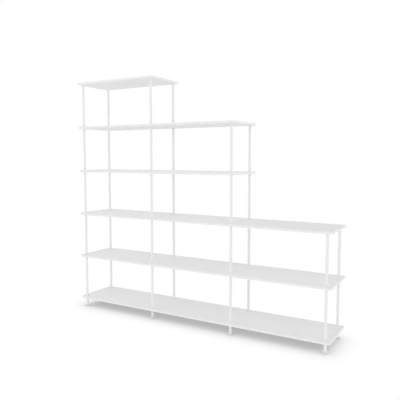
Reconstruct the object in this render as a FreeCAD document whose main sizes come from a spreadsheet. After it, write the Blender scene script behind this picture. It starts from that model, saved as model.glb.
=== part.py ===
"""Staircase bookshelf: open shelves on turned poles, five, four and two storeys high from left to right.

Millimetres, +Z up, +X along the shelves, the front towards -Y. The origin is on the floor, under the
middle of the bottom shelf. Threads are plain cylinders of their outer diameter.
"""
import FreeCAD, Part
import os
import Sketcher

# Driving dimensions
SIZES = {
    # Layout of the poles and shelves
    "bay_pitch": 660,
    "pole_spacing": 300,
    "end_overhang": 38,
    "edge_overhang": 30,
    "shelf_thickness": 16,
    "shelf_corner_radius": 16,
    "shelf_edge_round": 2,
    # Poles, each one storey high
    "pole_length": 325,
    "pole_diameter": 19,
    "pole_wall": 1.5,
    "pole_end_bevel": 0.4,
    "plug_length": 20,
    "plug_clearance": 0.05,
    # Collars above and below each shelf
    "collar_diameter": 30,
    "collar_thickness": 2.5,
    "collar_bevel": 0.8,
    # Studs and cap screws that pull poles and shelves together
    "stud_diameter": 8,
    "stud_grip": 14,
    "thread_clearance": 0.05,
    "thread_lead": 1,
    "stud_hole_clearance": 0.4,
    "cap_diameter": 30,
    "cap_height": 3,
    "cap_bevel": 1.6,
    # Feet under the bottom shelf
    "sleeve_length": 54.2,
    "sleeve_web": 10,
    "foot_thread_diameter": 10,
    "thread_end_gap": 0.5,
    "foot_plate_diameter": 40,
    "foot_plate_thickness": 3.5,
    "foot_plate_bevel": 1,
    "foot_seat_gap": 0.3,
    "foot_pad_thickness": 5,
    "foot_pad_bevel": 0.6,
    "pad_boss_diameter": 9,
    "pad_boss_height": 1.5,
    "pad_boss_clearance": 0.1,
}

# Storeys in each bay, from left to right
STOREYS = (5, 4, 2)
SHELF_NAMES = ("bottom_shelf", "second_shelf", "third_shelf", "fourth_shelf", "fifth_shelf", "top_shelf")
SIDES = {"front": -1, "back": 1}

doc = FreeCAD.newDocument("StaircaseBookshelf")
sheet = doc.addObject("Spreadsheet::Sheet", "Sizes")
for row, (alias, value) in enumerate(SIZES.items(), start=1):
    sheet.set(f"A{row}", alias.replace("_", " "))
    sheet.set(f"B{row}", str(value))
    sheet.setAlias(f"B{row}", alias)
doc.recompute()

# Formulas that several pieces share
POLE_RADIUS = "Sizes.pole_diameter / 2"
STUD_RADIUS = "Sizes.stud_diameter / 2"
STUD_BORE = f"{STUD_RADIUS} + Sizes.thread_clearance"
STUD_HOLE = f"{STUD_RADIUS} + Sizes.stud_hole_clearance"
FOOT_THREAD_RADIUS = "Sizes.foot_thread_diameter / 2"
PLATE_RADIUS = "Sizes.foot_plate_diameter / 2"
BOSS_RADIUS = "Sizes.pad_boss_diameter / 2"
STUD_BORE_DEPTH = "Sizes.stud_grip + Sizes.thread_end_gap"
FOOT_BORE_DEPTH = f"Sizes.sleeve_length - Sizes.sleeve_web - ({STUD_BORE_DEPTH})"
FOOT_THREAD_LENGTH = f"{FOOT_BORE_DEPTH} - Sizes.thread_end_gap + Sizes.foot_seat_gap"
PLATE_TOP = "Sizes.foot_pad_thickness + Sizes.foot_plate_thickness"
SLEEVE_FOOT = f"{PLATE_TOP} + Sizes.foot_seat_gap"
BOTTOM_SHELF = f"{SLEEVE_FOOT} + Sizes.sleeve_length + Sizes.collar_thickness"
STOREY = "(Sizes.pole_length + 2 * Sizes.collar_thickness + Sizes.shelf_thickness)"


def bays_at(level):
    """How many bays a shelf spans."""
    return sum(storeys >= level for storeys in STOREYS)


def storeys_at(column):
    """How many poles stand on each other in a column."""
    return max(STOREYS[max(column - 1, 0):column + 1])


def column_x(column):
    return f"({column} - {len(STOREYS)} / 2) * Sizes.bay_pitch"


def side_y(side):
    return f"{SIDES[side]} * Sizes.pole_spacing / 2"


def underside(level):
    return f"{BOTTOM_SHELF} + {level} * {STOREY}"


def topside(level):
    return f"{underside(level)} + Sizes.shelf_thickness"


def place(piece, x, y, z):
    """Ties a piece's position to the sheet."""
    for axis, formula in zip("xyz", (x, y, z)):
        piece.setExpression(f"Placement.Base.{axis}", formula)


def new_sketch(body, plane):
    """A sketch on one of the body's own origin planes."""
    sketch = body.newObject("Sketcher::SketchObject", f"{body.Name}_sketch")
    support = next(p for p in body.Origin.OriginFeatures if p.Role == plane)
    sketch.AttachmentSupport = (support, [""])
    sketch.MapMode = "FlatFace"
    return sketch


def bind(sketch, kind, elements, formula):
    """Adds a driving constraint whose value follows a formula."""
    index = sketch.addConstraint(Sketcher.Constraint(kind, *elements, 1.0))
    sketch.setExpression(f"Constraints[{index}]", formula)


def polygon(sketch, count):
    """A closed chain of straight edges, drawn as a rough ring until its corners are tied down."""
    turn = FreeCAD.Rotation(FreeCAD.Vector(0, 0, 1), 360 / count)
    corners = [FreeCAD.Vector(1, 0, 0)]
    for _ in range(count - 1):
        corners.append(turn.multVec(corners[-1]))
    for start, end in zip(corners, corners[1:] + corners[:1]):
        sketch.addGeometry(Part.LineSegment(start, end), False)
    for edge in range(count):
        sketch.addConstraint(Sketcher.Constraint("Coincident", edge, 2, (edge + 1) % count, 1))


def tie_corner(sketch, edge, across, up):
    """Fixes the start of an edge at two formulas, or on an axis where the formula is zero."""
    for kind, axis, formula in (("DistanceX", -2, across), ("DistanceY", -1, up)):
        if formula == "0":
            sketch.addConstraint(Sketcher.Constraint("PointOnObject", edge, 1, axis))
        else:
            bind(sketch, kind, (-1, 1, edge, 1), formula)


def turned(label, section):
    """A piece turned about its own Z axis, from the corners (radius, height) of its half section."""
    body = doc.addObject("PartDesign::Body", label)
    sketch = new_sketch(body, "XZ_Plane")
    polygon(sketch, len(section))
    for edge, (radius, height) in enumerate(section):
        tie_corner(sketch, edge, radius, height)
    solid = body.newObject("PartDesign::Revolution", f"{body.Name}_turned")
    solid.Profile = sketch
    solid.ReferenceAxis = (sketch, ["V_Axis"])
    solid.Angle = 360
    body.Tip = solid
    return body


def rounded(body, edges, size):
    """Rounds edges of the body's last feature."""
    base = body.Tip
    feature = body.newObject("PartDesign::Fillet", f"{body.Name}_round")
    feature.Base = (base, edges)
    feature.setExpression("Radius", size)
    body.Tip = feature
    doc.recompute()


def planes(shape, level):
    """A shape's flat faces: the level ones, or the upright ones."""
    flat = [face for face in shape.Faces if isinstance(face.Surface, Part.Plane)]
    return [face for face in flat if (abs(face.Surface.Axis.z) > 0.5) == level]


def edge_names(shape, chosen):
    """The names of a shape's edges that are among the chosen ones."""
    return [f"Edge{n}" for n, edge in enumerate(shape.Edges, start=1) if any(map(edge.isSame, chosen))]


def shelf(level):
    """A panel with its stud holes, rounded corners and softened rims, drawn from its front left corner."""
    bays = bays_at(level)
    body = doc.addObject("PartDesign::Body", SHELF_NAMES[level])
    sketch = new_sketch(body, "XY_Plane")
    length = f"{bays} * Sizes.bay_pitch + 2 * Sizes.end_overhang"
    depth = "Sizes.pole_spacing + 2 * Sizes.edge_overhang"
    polygon(sketch, 4)
    for edge, corner in enumerate((("0", "0"), (length, "0"), (length, depth), ("0", depth))):
        tie_corner(sketch, edge, *corner)
    for column in range(bays + 1):
        for row in range(len(SIDES)):
            rough = Part.Circle(FreeCAD.Vector(column, row, 0), FreeCAD.Vector(0, 0, 1), 1)
            hole = sketch.addGeometry(rough, False)
            bind(sketch, "DistanceX", (-1, 1, hole, 3), f"Sizes.end_overhang + {column} * Sizes.bay_pitch")
            bind(sketch, "DistanceY", (-1, 1, hole, 3), f"Sizes.edge_overhang + {row} * Sizes.pole_spacing")
            bind(sketch, "Radius", (hole,), STUD_HOLE)
    panel = body.newObject("PartDesign::Pad", f"{body.Name}_panel")
    panel.Profile = sketch
    panel.setExpression("Length", "Sizes.shelf_thickness")
    body.Tip = panel
    doc.recompute()

    walls = planes(panel.Shape, level=False)
    corners = [edge for wall in walls for edge in wall.Edges if abs(edge.tangentAt(0).z) > 0.5]
    rounded(body, edge_names(panel.Shape, corners), "Sizes.shelf_corner_radius")
    faces = planes(body.Tip.Shape, level=True)
    rims = [edge for face in faces for edge in face.OuterWire.Edges]
    rounded(body, edge_names(body.Tip.Shape, rims), "Sizes.shelf_edge_round")

    place(body, f"{column_x(0)} - Sizes.end_overhang", f"{side_y('front')} - Sizes.edge_overhang",
          underside(level))
    return body


def pole_section():
    """A tube with its outer edges broken at both ends."""
    bore = f"{POLE_RADIUS} - Sizes.pole_wall"
    end = f"{POLE_RADIUS} - Sizes.pole_end_bevel"
    return [
        (bore, "0"),
        (end, "0"),
        (POLE_RADIUS, "Sizes.pole_end_bevel"),
        (POLE_RADIUS, "Sizes.pole_length - Sizes.pole_end_bevel"),
        (end, "Sizes.pole_length"),
        (bore, "Sizes.pole_length"),
    ]


def plug_section():
    """A threaded plug that fills the end of a pole's tube."""
    outside = f"{POLE_RADIUS} - Sizes.pole_wall - Sizes.plug_clearance"
    return [
        (STUD_BORE, "0"),
        (outside, "0"),
        (outside, "Sizes.plug_length"),
        (STUD_BORE, "Sizes.plug_length"),
    ]


def collar_section():
    """A flat ring that lies on a shelf, with a bevelled rim on the far side."""
    rim = "Sizes.collar_diameter / 2"
    return [
        (STUD_HOLE, "0"),
        (rim, "0"),
        (rim, "Sizes.collar_thickness - Sizes.collar_bevel"),
        (f"{rim} - Sizes.collar_bevel", "Sizes.collar_thickness"),
        (STUD_HOLE, "Sizes.collar_thickness"),
    ]


def stud_section():
    """A threaded rod that grips a plug on each side of a shelf and its two collars."""
    length = "Sizes.shelf_thickness + 2 * Sizes.collar_thickness + 2 * Sizes.stud_grip"
    tip = f"{STUD_RADIUS} - Sizes.thread_lead"
    return [
        ("0", "0"),
        (tip, "0"),
        (STUD_RADIUS, "Sizes.thread_lead"),
        (STUD_RADIUS, f"{length} - Sizes.thread_lead"),
        (tip, length),
        ("0", length),
    ]


def cap_section():
    """A screw with a broad low head, which ends a column on top of its last shelf."""
    shank = "Sizes.shelf_thickness + Sizes.collar_thickness + Sizes.stud_grip"
    rim = "Sizes.cap_diameter / 2"
    top = f"{shank} + Sizes.cap_height"
    return [
        ("0", "0"),
        (f"{STUD_RADIUS} - Sizes.thread_lead", "0"),
        (STUD_RADIUS, "Sizes.thread_lead"),
        (STUD_RADIUS, shank),
        (rim, shank),
        (rim, f"{top} - Sizes.cap_bevel"),
        (f"{rim} - Sizes.cap_bevel", top),
        ("0", top),
    ]


def sleeve_section():
    """A solid leg with a threaded bore at each end: a stud above, the foot's thread below."""
    foot_bore = f"{FOOT_THREAD_RADIUS} + Sizes.thread_clearance"
    web_top = f"Sizes.sleeve_length - ({STUD_BORE_DEPTH})"
    return [
        ("0", FOOT_BORE_DEPTH),
        (foot_bore, FOOT_BORE_DEPTH),
        (foot_bore, "0"),
        (f"{POLE_RADIUS} - Sizes.pole_end_bevel", "0"),
        (POLE_RADIUS, "Sizes.pole_end_bevel"),
        (POLE_RADIUS, "Sizes.sleeve_length"),
        (STUD_BORE, "Sizes.sleeve_length"),
        (STUD_BORE, web_top),
        ("0", web_top),
    ]


def foot_section():
    """A levelling foot: a round plate on a threaded stem, with a socket underneath for the pad's boss."""
    socket = f"{BOSS_RADIUS} + Sizes.pad_boss_clearance"
    socket_depth = "Sizes.pad_boss_height + Sizes.pad_boss_clearance"
    plate = "Sizes.foot_plate_thickness"
    top = f"{plate} + {FOOT_THREAD_LENGTH}"
    return [
        ("0", socket_depth),
        (socket, socket_depth),
        (socket, "0"),
        (PLATE_RADIUS, "0"),
        (PLATE_RADIUS, f"{plate} - Sizes.foot_plate_bevel"),
        (f"{PLATE_RADIUS} - Sizes.foot_plate_bevel", plate),
        (FOOT_THREAD_RADIUS, plate),
        (FOOT_THREAD_RADIUS, f"{top} - Sizes.thread_lead"),
        (f"{FOOT_THREAD_RADIUS} - Sizes.thread_lead", top),
        ("0", top),
    ]


def pad_section():
    """A glide that stays on the floor while its foot turns on the boss in its middle."""
    boss_top = "Sizes.foot_pad_thickness + Sizes.pad_boss_height"
    return [
        ("0", "0"),
        (f"{PLATE_RADIUS} - Sizes.foot_pad_bevel", "0"),
        (PLATE_RADIUS, "Sizes.foot_pad_bevel"),
        (PLATE_RADIUS, "Sizes.foot_pad_thickness"),
        (BOSS_RADIUS, "Sizes.foot_pad_thickness"),
        (BOSS_RADIUS, boss_top),
        ("0", boss_top),
    ]


def group(label, section, places):
    """One node of separate solids: a turned piece at each place (column, side, height, upside down)."""
    pattern = turned(f"{label}_pattern", section)
    copies = []
    for column, side, height, upside_down in places:
        copy = doc.addObject("App::Link", f"{label}_copy")
        copy.LinkedObject = pattern
        half_turn = FreeCAD.Rotation(FreeCAD.Vector(1, 0, 0), 180 if upside_down else 0)
        copy.Placement = FreeCAD.Placement(FreeCAD.Vector(), half_turn)
        place(copy, column_x(column), side_y(side), height)
        copies.append(copy)
    node = doc.addObject("Part::Compound", label)
    node.Links = copies
    return node


# Every place where a pole meets a shelf, as (column, side, level)
crossings = [
    (column, side, level)
    for column in range(len(STOREYS) + 1)
    for side in SIDES
    for level in range(storeys_at(column) + 1)
]
carrying = [crossing for crossing in crossings if crossing[2] < storeys_at(crossing[0])]
ending = [crossing for crossing in crossings if crossing not in carrying]
standing = [crossing for crossing in crossings if crossing[2] == 0]

nodes = [shelf(level) for level in range(len(SHELF_NAMES))]

plug_places = []
for column, side, level in carrying:
    pole = turned(f"pole_{column + 1}_{side}_{level + 1}", pole_section())
    pole_foot = f"{topside(level)} + Sizes.collar_thickness"
    place(pole, column_x(column), side_y(side), pole_foot)
    nodes.append(pole)
    plug_places.append((column, side, pole_foot, False))
    plug_places.append((column, side, f"{pole_foot} + Sizes.pole_length - Sizes.plug_length", False))
nodes.append(group("pole_plugs", plug_section(), plug_places))

nodes.append(group("upper_collars", collar_section(), [(c, s, topside(n), False) for c, s, n in carrying]))
nodes.append(group("lower_collars", collar_section(), [(c, s, underside(n), True) for c, s, n in crossings]))

fixing_foot = "- Sizes.collar_thickness - Sizes.stud_grip"
nodes.append(group("joint_studs", stud_section(),
                   [(c, s, f"{underside(n)} {fixing_foot}", False) for c, s, n in carrying]))
nodes.append(group("top_cap_screws", cap_section(),
                   [(c, s, f"{underside(n)} {fixing_foot}", False) for c, s, n in ending]))

nodes.append(group("foot_sleeves", sleeve_section(), [(c, s, SLEEVE_FOOT, False) for c, s, n in standing]))
for column, side, level in standing:
    foot = turned(f"levelling_foot_{column + 1}_{side}", foot_section())
    place(foot, column_x(column), side_y(side), "Sizes.foot_pad_thickness")
    pad = turned(f"foot_pad_{column + 1}_{side}", pad_section())
    place(pad, column_x(column), side_y(side), "0")
    nodes += [foot, pad]

doc.recompute()
failed = [piece.Label for piece in doc.Objects if {"Invalid", "Error"} & set(piece.State)]
failed += [node.Label for node in nodes if node.Shape.isNull() or not node.Shape.isValid()]
if failed:
    raise RuntimeError("these pieces failed: " + ", ".join(failed))

os.makedirs("parts", exist_ok=True)
for node in nodes:
    node.Shape.exportStep(f"parts/{node.Label}.step")
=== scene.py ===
# %% [markdown]
# A white staircase bookshelf, dressed for its portrait. Thin lacquered boards lie on slim powder-coated
# poles, and the three bays are five, four and two storeys high, so the outline steps down to the right. The
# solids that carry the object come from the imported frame, in metres, and everything made here is measured
# from them.

# %% Load the frame
import math

import bmesh
import bpy
from mathutils import Matrix, Vector


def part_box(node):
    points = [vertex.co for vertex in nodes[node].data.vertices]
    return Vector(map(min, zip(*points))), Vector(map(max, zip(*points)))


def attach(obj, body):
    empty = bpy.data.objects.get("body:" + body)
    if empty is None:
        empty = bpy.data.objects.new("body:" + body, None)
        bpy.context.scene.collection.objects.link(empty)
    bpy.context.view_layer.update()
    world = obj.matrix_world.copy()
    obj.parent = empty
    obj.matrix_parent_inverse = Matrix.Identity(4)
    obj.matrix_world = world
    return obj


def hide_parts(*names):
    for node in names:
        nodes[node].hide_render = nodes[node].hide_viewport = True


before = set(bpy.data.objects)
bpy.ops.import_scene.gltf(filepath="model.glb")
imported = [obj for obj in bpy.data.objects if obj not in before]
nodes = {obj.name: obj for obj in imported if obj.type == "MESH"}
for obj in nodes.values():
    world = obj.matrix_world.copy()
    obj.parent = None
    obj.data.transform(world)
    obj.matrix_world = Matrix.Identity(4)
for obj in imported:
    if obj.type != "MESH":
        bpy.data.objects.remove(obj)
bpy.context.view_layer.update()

scene = bpy.context.scene

# %% [markdown]
# The frame knows every size. One pole gives the thickness of all of them, its neighbours give the bay pitch,
# the depth between front and back and the height of a storey, and the gap between a pole and its board is a
# collar. Sizes could be typed in again here, but then a change to the frame would leave the looks behind.

# %% Measure the frame
SHELVES = ("bottom_shelf", "second_shelf", "third_shelf", "fourth_shelf", "fifth_shelf", "top_shelf")
SIDES = ("front", "back")


def middle(node):
    """The centre of a node's box."""
    low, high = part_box(node)
    return (low + high) / 2


def size(node):
    """The three sizes of a node's box."""
    low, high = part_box(node)
    return high - low


first_pole = middle("pole_1_front_1")
bay_pitch = middle("pole_2_front_1").x - first_pole.x
pole_spacing = middle("pole_1_back_1").y - first_pole.y
storey_pitch = middle("pole_1_front_2").z - first_pole.z
pole_radius = size("pole_1_front_1").x / 2
pole_length = size("pole_1_front_1").z
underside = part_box("bottom_shelf")[0].z
upper_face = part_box("bottom_shelf")[1].z
collar_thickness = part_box("pole_1_front_1")[0].z - upper_face
collar_radius = first_pole.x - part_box("upper_collars")[0].x
storeys = []
while f"pole_{len(storeys) + 1}_front_1" in nodes:
    column = f"pole_{len(storeys) + 1}_front_"
    storeys.append(sum(name.startswith(column) for name in nodes))
print("storeys by column:", storeys, "bay pitch", round(bay_pitch, 4), "storey", round(storey_pitch, 4))

# %% [markdown]
# Node maths reads best as plain sums. A Field wraps one output socket: adding or multiplying fields adds Math
# nodes behind the scenes, and its node method adds any other node. The same class works in a material and in
# a Geometry Nodes tree, because both kinds of tree share the Math node.


# %% A field of values
class Field:
    """One output socket in a node tree, with arithmetic."""

    def __init__(self, tree, socket=None):
        self.tree = tree
        self.socket = socket

    def node(self, kind, settings=None, inputs=None, output=0):
        """Adds a node: first its settings, then its sockets' values or links. Gives one output as a Field."""
        made = self.tree.nodes.new(kind)
        for name, value in (settings or {}).items():
            setattr(made, name, value)
        for key, value in (inputs or {}).items():
            for link in value if isinstance(value, list) else [value]:
                if isinstance(link, Field):
                    self.tree.links.new(link.socket, made.inputs[key])
                else:
                    made.inputs[key].default_value = link
        return Field(self.tree, made.outputs[output])

    def math(self, operation, first, second=0.0, clamp=False):
        settings = {"operation": operation, "use_clamp": clamp}
        return self.node("ShaderNodeMath", settings, {0: first, 1: second})

    def __add__(self, other):
        return self.math("ADD", self, other)

    def __radd__(self, other):
        return self.math("ADD", other, self)

    def __sub__(self, other):
        return self.math("SUBTRACT", self, other)

    def __rsub__(self, other):
        return self.math("SUBTRACT", other, self)

    def __mul__(self, other):
        return self.math("MULTIPLY", self, other)

    def __rmul__(self, other):
        return self.math("MULTIPLY", other, self)

    def __truediv__(self, other):
        return self.math("DIVIDE", self, other)

    def __rtruediv__(self, other):
        return self.math("DIVIDE", other, self)

    def __mod__(self, other):
        return self.math("FLOORED_MODULO", self, other)

    def __rmod__(self, other):
        return self.math("FLOORED_MODULO", other, self)

    def __gt__(self, other):
        return self.math("GREATER_THAN", self, other)

    def __lt__(self, other):
        return self.math("LESS_THAN", self, other)


# %% [markdown]
# Every finish here is a coat of something: lacquer sprayed on board, powder baked on tube, zinc on a thread.
# A coat is a little uneven in tone over a hand's width, has a fine skin like orange peel that scatters the
# highlight, and is rubbed where an edge meets the hand. Noise in Object coordinates gives the first two at
# true scale. The rubbed edges could come from the Bevel node, but that is grainy, so each mesh made here
# carries a mask on its rounded edges.

# %% Coats
RUB_MASK = "rub"
LEAST_RUB = 0.2
CLOUD_SCALE = 7.0
CLOUD_DETAIL = 3.0
PEEL_DETAIL = 2.0
PEEL_STRENGTH = 0.5
NOISE_MIDDLE = 0.5
UNEVEN = 0.010
CLOUD_GLOSS = 0.10
PEEL_GLOSS = 0.06
RUB_GLOSS = 0.12


def coat(name, tone, rubbed_tone, roughness, peel_size, peel_depth, metallic=0.0):
    """A sprayed or baked finish. Sizes are in metres, tones are linear colours."""
    material = bpy.data.materials.new(name)
    material.use_nodes = True
    tree = material.node_tree
    field = Field(tree)
    place = field.node("ShaderNodeTexCoord", output="Object")

    def noise(scale, detail):
        return field.node("ShaderNodeTexNoise", inputs={"Vector": place, "Scale": scale, "Detail": detail})

    def mixed(share, first, second):
        """A colour between two others. Sockets 6, 7 and 2 are the Mix node's colours."""
        return field.node("ShaderNodeMix", {"data_type": "RGBA"}, {0: share, 6: first, 7: second}, output=2)

    cloud = noise(CLOUD_SCALE, CLOUD_DETAIL)
    peel = noise(1 / peel_size, PEEL_DETAIL)
    rim = field.node("ShaderNodeAttribute", {"attribute_name": RUB_MASK}, output="Fac")
    rubbed = field.math("MULTIPLY", rim, cloud + LEAST_RUB, clamp=True)
    dark, light = ([channel * level for channel in tone] for level in (1 - UNEVEN, 1 + UNEVEN))
    sprayed = mixed(cloud, (*dark, 1), (*light, 1))
    colour = mixed(rubbed, sprayed, (*rubbed_tone, 1))
    clouded = (cloud - NOISE_MIDDLE) * CLOUD_GLOSS
    peeled = (peel - NOISE_MIDDLE) * PEEL_GLOSS
    gloss = roughness + clouded + peeled - rubbed * RUB_GLOSS
    skin = field.node("ShaderNodeBump", inputs={
        "Height": peel, "Distance": peel_depth, "Strength": PEEL_STRENGTH})
    shader = tree.nodes["Principled BSDF"]
    shader.inputs["Metallic"].default_value = metallic
    for socket, value in (("Base Color", colour), ("Roughness", gloss), ("Normal", skin)):
        tree.links.new(value.socket, shader.inputs[socket])
    return material


lacquer = coat("white_lacquer", tone=(0.92, 0.92, 0.92), rubbed_tone=(0.90, 0.90, 0.895),
               roughness=0.60, peel_size=0.0016, peel_depth=0.00006)
powder = coat("white_powder_coat", tone=(0.92, 0.92, 0.92), rubbed_tone=(0.89, 0.89, 0.885),
              roughness=0.45, peel_size=0.0011, peel_depth=0.00008)
nylon = coat("grey_nylon", tone=(0.60, 0.60, 0.60), rubbed_tone=(0.53, 0.53, 0.53),
             roughness=0.58, peel_size=0.0007, peel_depth=0.00005)
zinc = coat("bright_zinc", tone=(0.62, 0.62, 0.63), rubbed_tone=(0.48, 0.48, 0.49),
            roughness=0.32, peel_size=0.0006, peel_depth=0.00003, metallic=1.0)
print("coats:", lacquer.name, powder.name, nylon.name, zinc.name)

# %% [markdown]
# The fixings inside the poles keep their solids and only take the zinc. Nobody sees them on the finished
# piece, so cutting their threads would be work for nothing, but the model can be taken apart.

# %% Hidden fixings
for name in ("pole_plugs", "joint_studs"):
    for slot in nodes[name].material_slots:
        slot.material = zinc
print("zinc on", len(nodes["pole_plugs"].data.polygons), "faces of the plugs")

# %% [markdown]
# Two of the shapes here follow a rule, so Geometry Nodes makes them. Each tree is written once with named
# inputs, and a helper runs it on a new object and keeps the result as a plain mesh. Level faces are shaded
# flat and the rest smooth, so a big flat board stays flat right up to its rounded rim.

# %% Node tree helpers
CREASE = math.radians(35)
LEVEL = 0.9999


def new_tree(name, inputs):
    """An empty Geometry Nodes tree with named inputs. Gives the tree and the inputs as Fields."""
    tree = bpy.data.node_groups.new(name, "GeometryNodeTree")
    for label, kind in inputs.items():
        tree.interface.new_socket(label, in_out="INPUT", socket_type=f"NodeSocket{kind}")
    tree.interface.new_socket("Geometry", in_out="OUTPUT", socket_type="NodeSocketGeometry")
    start = tree.nodes.new("NodeGroupInput")
    return tree, {label: Field(tree, start.outputs[label]) for label in inputs}


def end_tree(tree, geometry, material):
    """Realizes what was instanced and gives it its material, so that plain mesh comes out."""
    field = Field(tree)
    real = field.node("GeometryNodeRealizeInstances", inputs={"Geometry": geometry})
    painted = field.node("GeometryNodeSetMaterial", inputs={"Geometry": real, "Material": material})
    end = tree.nodes.new("NodeGroupOutput")
    tree.links.new(painted.socket, end.inputs[0])


def finish_mesh(mesh, material):
    """One material, outward faces, and smooth shading that breaks at level faces and at creases."""
    shape = bmesh.new()
    shape.from_mesh(mesh)
    bmesh.ops.recalc_face_normals(shape, faces=shape.faces)
    shape.to_mesh(mesh)
    shape.free()
    mesh.materials.clear()
    mesh.materials.append(material)
    mesh.set_sharp_from_angle(angle=CREASE)
    for face in mesh.polygons:
        face.material_index = 0
        face.use_smooth = abs(face.normal.z) < LEVEL


def grow(name, tree, values):
    """Runs a tree on a new object with these input values and keeps the result as a plain mesh."""
    piece = bpy.data.objects.new(name, bpy.data.meshes.new(name))
    scene.collection.objects.link(piece)
    modifier = piece.modifiers.new("grow", "NODES")
    modifier.node_group = tree
    for item in tree.interface.items_tree:
        if item.in_out == "INPUT":
            modifier[item.identifier] = values[item.name]
    graph = bpy.context.evaluated_depsgraph_get()
    mesh = bpy.data.meshes.new_from_object(piece.evaluated_get(graph), depsgraph=graph)
    piece.modifiers.clear()
    piece.data = mesh
    finish_mesh(mesh, values["Material"])
    return piece


# %% [markdown]
# A shelf is a board with rounded corners, softened rims and a hole for each stud. A bevelled box with holes
# cut by booleans would do for one, but its edges are hard to keep clean. The rule here is short: sweep the
# rim's section round the outline, line the holes, and fill the two flat faces between them. First comes the
# section, an open line of four points whose two corners are filleted and carry the rub mask.

# %% The rim's section
SECTION_POINTS = 4
RIM_STEPS = 6
RUB_FALLOFF = 1.7


def vector(field, x=0.0, y=0.0, z=0.0):
    return field.node("ShaderNodeCombineXYZ", inputs={0: x, 1: y, 2: z})


def rim_section(field, thickness, rim_radius):
    """Points 1 and 2 of the line lie on the outer edge, points 2 and 3 on the upper face."""
    index = field.node("GeometryNodeInputIndex")
    outer = (index > 0.5) * (index < 2.5)
    upper = index > 1.5
    line = field.node("GeometryNodeSetPosition", inputs={
        "Geometry": field.node("GeometryNodeMeshLine", inputs={"Count": SECTION_POINTS}),
        "Position": vector(field, (outer - 1) * (rim_radius * 2), (upper - 0.5) * thickness)})
    section = field.node("GeometryNodeFilletCurve", {"mode": "POLY"}, {
        "Curve": field.node("GeometryNodeMeshToCurve", inputs={"Mesh": line}),
        "Count": RIM_STEPS, "Radius": rim_radius})
    place = field.node("GeometryNodeInputPosition")
    across, above = (field.node("ShaderNodeSeparateXYZ", inputs={0: place}, output=axis) for axis in "XY")
    drop = thickness / 2 - field.math("ABSOLUTE", above)
    from_corner = field.math("SQRT", across * across + drop * drop)
    mask = field.math("SUBTRACT", RUB_FALLOFF, from_corner / rim_radius * RUB_FALLOFF, clamp=True)
    return field.node("GeometryNodeStoreNamedAttribute", {"data_type": "FLOAT", "domain": "POINT"}, {
        "Geometry": section, "Name": RUB_MASK, "Value": mask})


# %% [markdown]
# Two curves guide the board: its outline, which can be drawn in by some distance for the flat faces, and a
# circle at each stud. A curve that is swept needs its normal kept upright, or the section tilts.

# %% Outline and holes
CORNER_STEPS = 12
HOLE_SIDES = 24


def upright(curve):
    return curve.node("GeometryNodeSetCurveNormal", {"mode": "Z_UP"}, {"Curve": curve})


def outline(given, inset):
    """A board's outline, drawn in by some distance."""
    field = given["Length"]
    straight = field.node("GeometryNodeCurvePrimitiveQuadrilateral", inputs={
        "Width": given["Length"] - inset * 2, "Height": given["Depth"] - inset * 2})
    return upright(field.node("GeometryNodeFilletCurve", {"mode": "POLY"}, {
        "Curve": straight, "Count": CORNER_STEPS, "Radius": given["Corner radius"] - inset}))


def stud_holes(given):
    """A circle at each stud: a row of columns in front, and one at the back."""
    field = given["Bays"]
    index = field.node("GeometryNodeInputIndex")
    columns = given["Bays"] + 1
    row = field.math("FLOOR", index / columns)
    drilled = vector(field, (index % columns - given["Bays"] / 2) * given["Bay pitch"],
                     (row - 0.5) * given["Pole spacing"])
    points = field.node("GeometryNodePoints", inputs={"Count": columns * len(SIDES), "Position": drilled})
    hole = field.node("GeometryNodeCurvePrimitiveCircle", inputs={
        "Resolution": HOLE_SIDES, "Radius": given["Hole radius"]})
    placed = field.node("GeometryNodeInstanceOnPoints", inputs={"Points": points, "Instance": hole})
    return upright(field.node("GeometryNodeRealizeInstances", inputs={"Geometry": placed}))


# %% [markdown]
# The board tree puts these together and merges the seams, so that each board is one closed skin. One tree
# serves all six boards, and only its sizes change.

# %% The board tree
MERGE_DISTANCE = 0.0002
BOARD_SIZES = ("Length", "Depth", "Thickness", "Corner radius", "Rim radius", "Bay pitch", "Pole spacing",
               "Hole radius")


def swept(curve, section):
    return curve.node("GeometryNodeCurveToMesh", inputs={"Curve": curve, "Profile Curve": section})


def board_tree():
    tree, given = new_tree("rounded_board", {
        **{label: "Float" for label in BOARD_SIZES},
        "Bays": "Int", "Centre": "Vector", "Material": "Material",
    })
    field = Field(tree)
    thickness = given["Thickness"]
    rim_radius = given["Rim radius"]
    holes = stud_holes(given)
    bore = field.node("GeometryNodeCurvePrimitiveLine", inputs={
        "Start": vector(field, y=thickness * -0.5), "End": vector(field, y=thickness * 0.5)})
    cut = field.node("GeometryNodeJoinGeometry", inputs={0: [outline(given, rim_radius * 2), holes]})
    face = field.node("GeometryNodeFillCurve", {"mode": "NGONS"}, {"Curve": cut})
    faces = [
        field.node("GeometryNodeTransform", inputs={
            "Geometry": face, "Translation": vector(field, z=thickness * side)})
        for side in (-0.5, 0.5)
    ]
    rim = swept(outline(given, 0.0), rim_section(field, thickness, rim_radius))
    skins = field.node("GeometryNodeJoinGeometry", inputs={0: [rim, swept(holes, bore), *faces]})
    closed = field.node("GeometryNodeMergeByDistance", inputs={"Geometry": skins, "Distance": MERGE_DISTANCE})
    board = field.node("GeometryNodeSetPosition", inputs={"Geometry": closed, "Offset": given["Centre"]})
    end_tree(tree, board, given["Material"])
    return tree


boards = board_tree()
print("board tree:", len(boards.nodes), "nodes")

# %% [markdown]
# The six boards differ in length alone: three reach over all the bays, two over two bays and the top one over
# one. The frame already knows the lengths, so a loop reads them and runs the tree six times.

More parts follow.
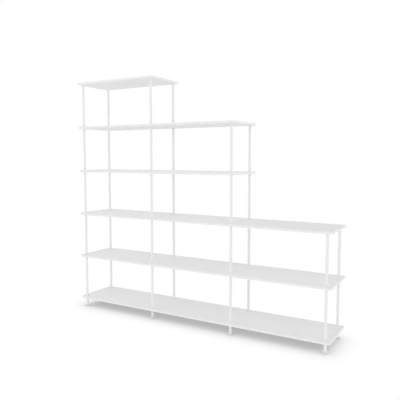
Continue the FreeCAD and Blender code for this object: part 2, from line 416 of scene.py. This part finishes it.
# %% Boards
CORNER_RADIUS = 0.016
RIM_RADIUS = 0.002
HOLE_RADIUS = 0.0044
for name in SHELVES:
    extent = size(name)
    piece = grow(f"{name}_board", boards, {
        "Length": extent.x, "Depth": extent.y, "Thickness": extent.z, "Corner radius": CORNER_RADIUS,
        "Rim radius": RIM_RADIUS, "Bays": int(extent.x / bay_pitch), "Bay pitch": bay_pitch,
        "Pole spacing": pole_spacing, "Hole radius": HOLE_RADIUS, "Centre": middle(name),
        "Material": lacquer,
    })
    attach(piece, "frame")
    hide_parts(name)
    print(piece.name, "faces", len(piece.data.polygons))

# %% [markdown]
# All the rest is turned work: poles, collars, caps, legs, feet and pads are each a half section spun round
# an axis. The Screw modifier spins too, but a spin in code can also cut a thread and set the rub mask. A
# section is a list of radius and height, from the axis or round a ring, and its rounded edges are short arcs
# with the mask on them. A long straight run gets a ring close to each end, so that smooth shading bends only
# there.

# %% Turning
TURN_SIDES = 48
ARC_STEPS = 5
SUPPORT = 0.0003
LONG_RUN = 4 * SUPPORT


def arc(radius, height, bend, start, end, steps=ARC_STEPS):
    """Points of a rounded edge about a centre, with angles in degrees from straight out to straight up."""
    points = []
    for n in range(steps + 1):
        angle = math.radians(start + (end - start) * n / steps)
        points.append((radius + bend * math.cos(angle), height + bend * math.sin(angle),
                       math.sin(math.pi * n / steps)))
    return points


def supported(section):
    """The section with a ring close to each end of its long upright runs."""
    points = []
    for here, after in zip(section, section[1:] + section[:1]):
        points.append(here)
        rise = after[1] - here[1]
        if here[0] == after[0] > 0 and abs(rise) > LONG_RUN:
            step = math.copysign(SUPPORT, rise)
            points += [(here[0], here[1] + step), (here[0], after[1] - step)]
    return points


def turned(name, section, material, wind=None):
    """A mesh spun from a half section. wind, if given, changes the radius by height and angle."""
    shape = bmesh.new()
    mask = shape.verts.layers.float.new(RUB_MASK)
    rings = []
    for radius, height, *rub in supported(section):
        ring = []
        for n in range(TURN_SIDES if radius > 0 else 1):
            angle = 2 * math.pi * n / TURN_SIDES
            reach = radius + wind(radius, height, angle) if wind else radius
            vertex = shape.verts.new((reach * math.cos(angle), reach * math.sin(angle), height))
            vertex[mask] = rub[0] if rub else 0.0
            ring.append(vertex)
        rings.append(ring)
    is_ring = section[0][0] > 0
    for first, second in zip(rings, rings[1:] + rings[:1] if is_ring else rings[1:]):
        for n in range(TURN_SIDES):
            after = (n + 1) % TURN_SIDES
            corners = [first[n % len(first)], first[after % len(first)],
                       second[after % len(second)], second[n % len(second)]]
            shape.faces.new(list(dict.fromkeys(corners)))
    mesh = bpy.data.meshes.new(name)
    shape.to_mesh(mesh)
    shape.free()
    finish_mesh(mesh, material)
    return mesh


# %% [markdown]
# The staircase rule lives in one tree: columns, front and back, and levels make a grid of crossings, and a
# column only keeps the levels that it reaches. Poles and upper collars leave out the last level, caps keep
# only that one, and legs keep only the ground level. The tree puts one turned piece at every crossing that is
# left. Array modifiers could fill the whole grid, but they can't leave out the steps of the staircase.


# %% The crossing tree
def crossing_tree(columns, levels):
    labels = [f"Storeys in column {n + 1}" for n in range(columns)]
    tree, given = new_tree("pieces_at_crossings", {
        "Piece": "Object", "First crossing": "Vector", "Bay pitch": "Float", "Pole spacing": "Float",
        "Storey pitch": "Float", **{label: "Int" for label in labels}, "Levels left out at the top": "Int",
        "Only at the top": "Bool", "Highest level": "Int", "Upside down": "Bool", "Material": "Material",
    })
    field = Field(tree)
    index = field.node("GeometryNodeInputIndex")
    column = index % columns
    side = field.math("FLOOR", index / columns) % len(SIDES)
    level = field.math("FLOOR", index / (columns * len(SIDES)))
    step = vector(field, column * given["Bay pitch"], side * given["Pole spacing"],
                  level * given["Storey pitch"])
    place = field.node("ShaderNodeVectorMath", {"operation": "ADD"}, {0: given["First crossing"], 1: step})
    points = field.node("GeometryNodePoints", inputs={
        "Count": columns * len(SIDES) * levels, "Position": place})
    top = sum(given[label] * (column > n - 0.5) * (column < n + 0.5) for n, label in enumerate(labels))
    reached = level < top - given["Levels left out at the top"] + 0.5
    ended = level > top * given["Only at the top"] - 0.5
    wanted = reached * ended * (level < given["Highest level"] + 0.5)
    turn = field.node("FunctionNodeEulerToRotation", inputs={
        0: vector(field, given["Upside down"] * math.pi)})
    shape = field.node("GeometryNodeObjectInfo", inputs={"Object": given["Piece"]}, output="Geometry")
    pieces = field.node("GeometryNodeInstanceOnPoints", inputs={
        "Points": points, "Selection": wanted, "Instance": shape, "Rotation": turn})
    end_tree(tree, pieces, given["Material"])
    return tree


crossings = crossing_tree(len(storeys), max(storeys) + 1)
print("crossing tree:", len(crossings.nodes), "nodes")


# %% [markdown]
# A small helper runs that tree for one turned mesh. It shows the tree a pattern object, takes it away again
# and sends the piece with the rigid frame.


# %% At the crossings
def at_crossings(name, mesh, height, replaced, left_out=0, top_only=False, highest=max(storeys),
                 upside_down=False):
    """Puts a turned mesh where it belongs. height is that of its foot at the bottom shelf."""
    pattern = bpy.data.objects.new(f"{name}_pattern", mesh)
    scene.collection.objects.link(pattern)
    piece = grow(name, crossings, {
        "Piece": pattern, "First crossing": Vector((first_pole.x, first_pole.y, height)),
        "Bay pitch": bay_pitch, "Pole spacing": pole_spacing, "Storey pitch": storey_pitch,
        **{f"Storeys in column {n + 1}": count for n, count in enumerate(storeys)},
        "Levels left out at the top": left_out, "Only at the top": top_only, "Highest level": highest,
        "Upside down": upside_down, "Material": mesh.materials[0],
    })
    bpy.data.objects.remove(pattern)
    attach(piece, "frame")
    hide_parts(*replaced)
    print(name, "faces", len(piece.data.polygons))


# %% [markdown]
# A pole is a steel tube, one storey long, with its ends broken by a fine bevel so that the powder does not
# chip there. A cylinder with a hole through it would do, but a spun section gives the wall, the bevels and
# their mask at once.

# %% Poles
TUBE_WALL = 0.0015
END_BEVEL = 0.0004
END_STEPS = 3
tube = [
    (pole_radius - TUBE_WALL, 0),
    *arc(pole_radius - END_BEVEL, END_BEVEL, END_BEVEL, -90, 0, END_STEPS),
    *arc(pole_radius - END_BEVEL, pole_length - END_BEVEL, END_BEVEL, 0, 90, END_STEPS),
    (pole_radius - TUBE_WALL, pole_length),
]
pole_names = [name for name in nodes if name.startswith("pole_") and name != "pole_plugs"]
at_crossings("poles", turned("pole", tube, powder), upper_face + collar_thickness, pole_names, left_out=1)

# %% [markdown]
# Collars are flat rings that spread the load of a pole on the board. A torus would be too round and a plain
# ring too sharp, so the section is flat with a rounded far rim. The same ring lies under a board upside down.

# %% Collars
COLLAR_ROUND = 0.0009
ring = [
    (HOLE_RADIUS, 0),
    (collar_radius, 0),
    *arc(collar_radius - COLLAR_ROUND, collar_thickness - COLLAR_ROUND, COLLAR_ROUND, 0, 90),
    (HOLE_RADIUS, collar_thickness),
]
collar = turned("collar", ring, powder)
at_crossings("collars_above", collar, upper_face, ["upper_collars"], left_out=1)
at_crossings("collars_below", collar, underside, ["lower_collars"], upside_down=True)

# %% [markdown]
# Where a column ends, a cap screw comes down through the board. Its head is a low dome with a small upright
# rim. A squashed sphere would look swollen there, so the dome is a shallow curve on top of a short arc.

# %% Caps
STUD_RADIUS = 0.004
STUD_GRIP = 0.014
CAP_RIM = 0.0014
CAP_ROUND = 0.0006
CAP_ARC_END = 75
CROWN_STEPS = 8
cap_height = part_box("top_cap_screws")[1].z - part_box("top_shelf")[1].z
cap_radius = first_pole.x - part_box("top_cap_screws")[0].x
shank = size("top_shelf").z + collar_thickness + STUD_GRIP
flat_radius = cap_radius - CAP_ROUND
crown = [
    (flat_radius * n / CROWN_STEPS, cap_height - (cap_height - CAP_RIM) * (n / CROWN_STEPS) ** 2)
    for n in range(CROWN_STEPS - 1, -1, -1)
]
screw = [
    (0, -shank),
    (STUD_RADIUS, -shank),
    (STUD_RADIUS, 0),
    (cap_radius, 0),
    *arc(flat_radius, CAP_RIM - CAP_ROUND, CAP_ROUND, 0, CAP_ARC_END),
    *crown,
]
at_crossings("top_caps", turned("cap", screw, powder), upper_face, ["top_cap_screws"], top_only=True)

# %% [markdown]
# Under the bottom board each column stands on a leg as thick as a pole. It is solid, with a bore at each end:
# a stud goes in above and the foot's thread below. Booleans could cut the bores, but in a half section they
# are only steps.

# %% Legs
THREAD_CLEARANCE = 0.00005
STEM_RADIUS = 0.005
LEG_WEB = 0.010
STUD_BORE_DEPTH = 0.0145
leg_low, leg_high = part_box("foot_sleeves")
leg_length = leg_high.z - leg_low.z
stud_bore = STUD_RADIUS + THREAD_CLEARANCE
stem_bore = STEM_RADIUS + THREAD_CLEARANCE
web_top = leg_length - STUD_BORE_DEPTH
leg = [
    (0, web_top - LEG_WEB),
    (stem_bore, web_top - LEG_WEB),
    (stem_bore, 0),
    *arc(pole_radius - END_BEVEL, END_BEVEL, END_BEVEL, -90, 0, END_STEPS),
    (pole_radius, leg_length),
    (stud_bore, leg_length),
    (stud_bore, web_top),
    (0, web_top),
]
at_crossings("legs", turned("leg", leg, powder), leg_low.z, ["foot_sleeves"], highest=0)

# %% [markdown]
# A levelling foot is a round plate on a threaded stem, and a pad under it stays on the floor while the foot
# is turned. The plate has a shallow seat below, and a boss on the pad sits in it. Bevelled discs would do for
# the outside, but the seat and the boss show when the model is taken apart, so both are spun from sections.

# %% Plates and pads
PLATE_THICKNESS = 0.0035
PLATE_ROUND = 0.0009
PAD_ROUND = 0.0006
BOSS_RADIUS = 0.0045
BOSS_HEIGHT = 0.0015
BOSS_CLEARANCE = 0.0001
foot_low, foot_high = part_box("levelling_foot_1_front")
plate_radius = (foot_high.x - foot_low.x) / 2
stem_top = foot_high.z - foot_low.z
pad_top = foot_low.z
plate = [
    (0, BOSS_HEIGHT + BOSS_CLEARANCE),
    (BOSS_RADIUS + BOSS_CLEARANCE, BOSS_HEIGHT + BOSS_CLEARANCE),
    (BOSS_RADIUS + BOSS_CLEARANCE, 0),
    (plate_radius, 0),
    *arc(plate_radius - PLATE_ROUND, PLATE_THICKNESS - PLATE_ROUND, PLATE_ROUND, 0, 90),
    (0, PLATE_THICKNESS),
]
pad = [
    (0, 0),
    *arc(plate_radius - PAD_ROUND, PAD_ROUND, PAD_ROUND, -90, 0),
    (plate_radius, pad_top),
    (BOSS_RADIUS, pad_top),
    (BOSS_RADIUS, pad_top + BOSS_HEIGHT),
    (0, pad_top + BOSS_HEIGHT),
]
print("plate radius", round(plate_radius, 4), "pad thickness", round(pad_top, 4))

# %% [markdown]
# The thread is cut by the same spin: the radius dips along a line that winds up the stem once for each pitch,
# to the right as on any common screw. A helix that is swept and cut out would give the same groove with far
# more faces.

# %% The thread
THREAD_PITCH = 0.0015
THREAD_DEPTH = 0.0009
ROWS_A_PITCH = 8


def thread_groove(radius, height, angle):
    """How far the thread's groove cuts into the stem at a height and an angle."""
    fade = min(height - PLATE_THICKNESS, stem_top - height) / THREAD_PITCH
    if radius < STEM_RADIUS or fade <= 0:
        return 0
    turn = (height / THREAD_PITCH - angle / (2 * math.pi)) % 1
    return -THREAD_DEPTH * abs(2 * turn - 1) * min(fade, 1)


rows = round((stem_top - PLATE_THICKNESS) / THREAD_PITCH * ROWS_A_PITCH)
row_height = (stem_top - PLATE_THICKNESS) / rows
stem = [
    (0, PLATE_THICKNESS),
    *((STEM_RADIUS, PLATE_THICKNESS + row_height * n) for n in range(rows)),
    (STEM_RADIUS - THREAD_DEPTH, stem_top),
    (0, stem_top),
]
print("thread rows", rows)

# %% [markdown]
# The stem is bright zinc and the plate is powder-coated, so they are two pieces on the same body. Each foot
# and each pad moves by itself, so the eight of them are separate meshes on bodies of their own, and not one
# mesh like the poles.

# %% Stand the feet
foot_parts = {
    "foot_plate": (turned("plate", plate, powder), foot_low.z, "foot", "levelling_foot", "pole_paint"),
    "foot_stem": (turned("stem", stem, zinc, thread_groove), foot_low.z, "foot", None, "fixing_steel"),
    "foot_glide": (turned("glide", pad, nylon), 0, "pad", "foot_pad", "pad_plastic"),
}


def stand(name, pattern, axis, height):
    """A copy of a turned mesh on an upright axis."""
    mesh = pattern.copy()
    mesh.transform(Matrix.Translation((axis.x, axis.y, height)))
    piece = bpy.data.objects.new(name, mesh)
    scene.collection.objects.link(piece)
    return piece


for column in range(1, len(storeys) + 1):
    for side in SIDES:
        spot = f"{column}_{side}"
        axis = middle(f"levelling_foot_{spot}")
        for name, (mesh, height, body, replaced, slot) in foot_parts.items():
            piece = stand(f"{name}_{spot}", mesh, axis, height)
            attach(piece, f"{body}_{spot}")
            if replaced:
                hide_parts(f"{replaced}_{spot}")
print("foot parts:", {name: len(part[0].polygons) for name, part in foot_parts.items()})

# %% [markdown]
# The photograph is a plain cut-out on white with a soft shadow under the bottom board, and the undersides of
# the boards are as light as their tops. So the floor is pale paper with a faint light of its own, as on a
# light table. The camera, and any gloss, see that paper as pure white, and only the shadow is left on it.
# That shadow is drawn where something stands close above the paper: the Ambient Occlusion node says how open
# each spot of the floor is within a hand's length, and a power below one softens the shadow's edge. A lamp
# would draw a shadow too, but it would also draw some on the boards, which the photograph does not have.

# %% Floor
WHITE = (1, 1, 1, 1)
FLOOR_HALF = 30.0
PAPER_TONE = 0.95
PAPER_GLOW = 0.14
SHOWN_GLOW = 1.0
SHADOW_REACH = 0.15
SHADOW_POWER = 0.46
floor_mesh = bpy.data.meshes.new("floor")
corners = [(x * FLOOR_HALF, y * FLOOR_HALF, 0) for x, y in ((-1, -1), (1, -1), (1, 1), (-1, 1))]
floor_mesh.from_pydata(corners, [], [range(len(corners))])
floor = bpy.data.objects.new("floor", floor_mesh)
scene.collection.objects.link(floor)
paper = bpy.data.materials.new("white_paper")
paper.use_nodes = True
field = Field(paper.node_tree)


def seen_rays(field):
    """One for rays that show the surface: from the camera, or by way of gloss or glass."""
    camera, glossy, through = (
        field.node("ShaderNodeLightPath", output=f"Is {kind} Ray")
        for kind in ("Camera", "Glossy", "Transmission")
    )
    return field.math("ADD", camera + glossy, through, clamp=True)


bounced = field.node("ShaderNodeBsdfDiffuse", inputs={"Color": (PAPER_TONE, PAPER_TONE, PAPER_TONE, 1)})
glow, white = (field.node("ShaderNodeEmission", inputs={"Color": WHITE, "Strength": strength})
               for strength in (PAPER_GLOW, SHOWN_GLOW))
lit = field.node("ShaderNodeAddShader", inputs={0: bounced, 1: glow})
openness = field.node("ShaderNodeAmbientOcclusion", inputs={"Distance": SHADOW_REACH}, output="AO")
shadow = field.math("POWER", openness, SHADOW_POWER)
shown = field.node("ShaderNodeMixShader", inputs={0: shadow, 2: white})
both = field.node("ShaderNodeMixShader", inputs={0: seen_rays(field), 1: lit, 2: shown})
paper.node_tree.links.new(both.socket, paper.node_tree.nodes["Material Output"].inputs["Surface"])
floor_mesh.materials.append(paper)
print("floor", 2 * FLOOR_HALF, "m wide")

# %% [markdown]
# A white tent lights everything softly. Its roof is dimmer than its walls, most of all at the back, so tops,
# undersides, edges and ends of the boards come out nearly alike, and the tops darken a little towards their
# back edges, as they do in the photograph. Lamps could do the same, but each would draw its own shadow, and
# there is only one soft shadow to be seen. The camera and the gloss see the tent as plain white.

# %% Tent
TENT_WALLS = 1.27
TENT_BACK = 0.31
TENT_ROOF_FADE = 0.73
world = bpy.data.worlds.new("white_tent")
scene.world = world
world.use_nodes = True
tent = world.node_tree.nodes["Background"]
tent.inputs["Color"].default_value = WHITE
field = Field(world.node_tree)
ray = field.node("ShaderNodeTexCoord", output="Generated")
back, high = (field.node("ShaderNodeSeparateXYZ", inputs={0: ray}, output=axis) for axis in "YZ")
light = TENT_WALLS + back * TENT_BACK - (1 + back) * high * TENT_ROOF_FADE
seen = seen_rays(field)
strength = seen + (1 - seen) * light
world.node_tree.links.new(strength.socket, tent.inputs["Strength"])
print("tent", TENT_WALLS, "around and", round(TENT_WALLS - TENT_ROOF_FADE, 2), "overhead")

# %% [markdown]
# The camera stands to the right of the unit, a little above its middle, and looks down by five degrees. It
# could be turned by eye until the lines agree, but poles and board edges give enough straight lines to work
# out its place and angles.

# %% Camera
CAMERA_PLACE = (1.7781, -3.0749, 1.2205)
VIEW_ANGLE = math.radians(45)
LOOK_DOWN = math.radians(5.02)
LOOK_LEFT = math.radians(30.04)
lens = bpy.data.cameras.new("camera")
lens.angle = VIEW_ANGLE
camera = bpy.data.objects.new("camera", lens)
camera.location = CAMERA_PLACE
camera.rotation_euler = (math.pi / 2 - LOOK_DOWN, 0, LOOK_LEFT)
scene.collection.objects.link(camera)
scene.camera = camera
scene.view_settings.view_transform = "Standard"
print("lens", round(lens.lens, 2), "mm")
